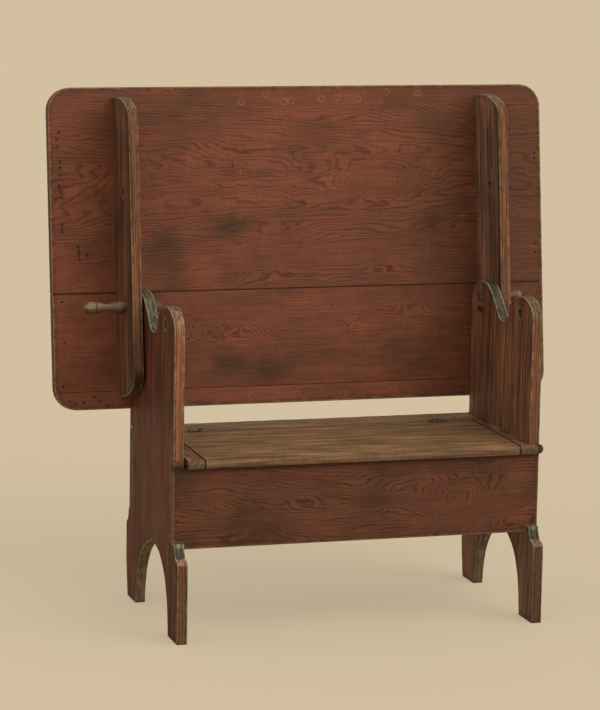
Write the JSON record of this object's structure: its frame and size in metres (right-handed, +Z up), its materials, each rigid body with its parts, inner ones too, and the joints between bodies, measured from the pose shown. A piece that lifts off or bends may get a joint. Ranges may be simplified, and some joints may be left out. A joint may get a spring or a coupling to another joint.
{
  "type": "settle bench",
  "caption": "Wooden settle bench with arched end boards, a lidded seat box and a cleated back that tilts over on pegs to become a table.",
  "frame": {"origin": "middle of the bounding box at floor level", "axes": "+X along the bench to the sitter's left, seen from the front to the right; +Y from the front to the back; +Z up"},
  "size_m": [1.129, 0.5346, 1.1099],
  "materials": {
    "red_wood": "satin",
    "end_wood": "satin",
    "cleat_wood": "satin",
    "seat_wood": "worn",
    "peg_wood": "satin",
    "inner_wood": "matte",
    "iron": "matte"
  },
  "bodies": {
    "base": {"back_panel": "red_wood", "back_panel_nails": "iron", "bottom_board_front": "inner_wood", "bottom_board_rear": "inner_wood", "bottom_cleat_left": "inner_wood", "bottom_cleat_right": "inner_wood", "bottom_nails": "iron", "end_left": "end_wood", "end_right": "end_wood", "front_panel": "red_wood", "front_panel_nails": "iron", "hinge_leaf_fixed_left": "iron", "hinge_leaf_fixed_right": "iron", "hinge_pin_left": "iron", "hinge_pin_right": "iron", "hinge_screws_fixed_left": "iron", "hinge_screws_fixed_right": "iron", "seat_cleat_left": "inner_wood", "seat_cleat_right": "inner_wood", "seat_nails": "iron", "seat_strip_left": "seat_wood", "seat_strip_rear": "seat_wood", "seat_strip_right": "seat_wood"},
    "lid": {"hinge_leaf_lid_left": "iron", "hinge_leaf_lid_right": "iron", "hinge_screws_lid_left": "iron", "hinge_screws_lid_right": "iron", "lid_batten_left": "inner_wood", "lid_batten_right": "inner_wood", "lid_board": "seat_wood", "lid_nails": "iron"},
    "top": {"top_board_lower": "red_wood", "top_board_middle": "red_wood", "top_board_wide": "red_wood", "top_cleat_left": "cleat_wood", "top_cleat_right": "cleat_wood", "top_dowels_lower": "inner_wood", "top_dowels_upper": "inner_wood", "top_nails_left": "iron", "top_nails_right": "iron"},
    "peg_left": {"peg_left": "peg_wood"},
    "peg_right": {"peg_right": "peg_wood"}
  },
  "joints": [
    {"name": "top_tilt", "type": "hinge", "parent": "base", "child": "top", "pos_m": [0.004, 0.09773, 0.652], "axis": [1, 0, 0], "range_deg": [0, 97.47]},
    {"name": "lid_open", "type": "hinge", "parent": "base", "child": "lid", "pos_m": [0.004, 0.06273, 0.3832], "axis": [-1, 0, 0], "range_deg": [0, 95]},
    {"name": "peg_left_pull", "type": "slide", "parent": "top", "child": "peg_left", "axis": [-1, 0, 0], "range_m": [0, 0.08]},
    {"name": "peg_right_pull", "type": "slide", "parent": "top", "child": "peg_right", "axis": [1, 0, 0], "range_m": [0, 0.08]}
  ]
}
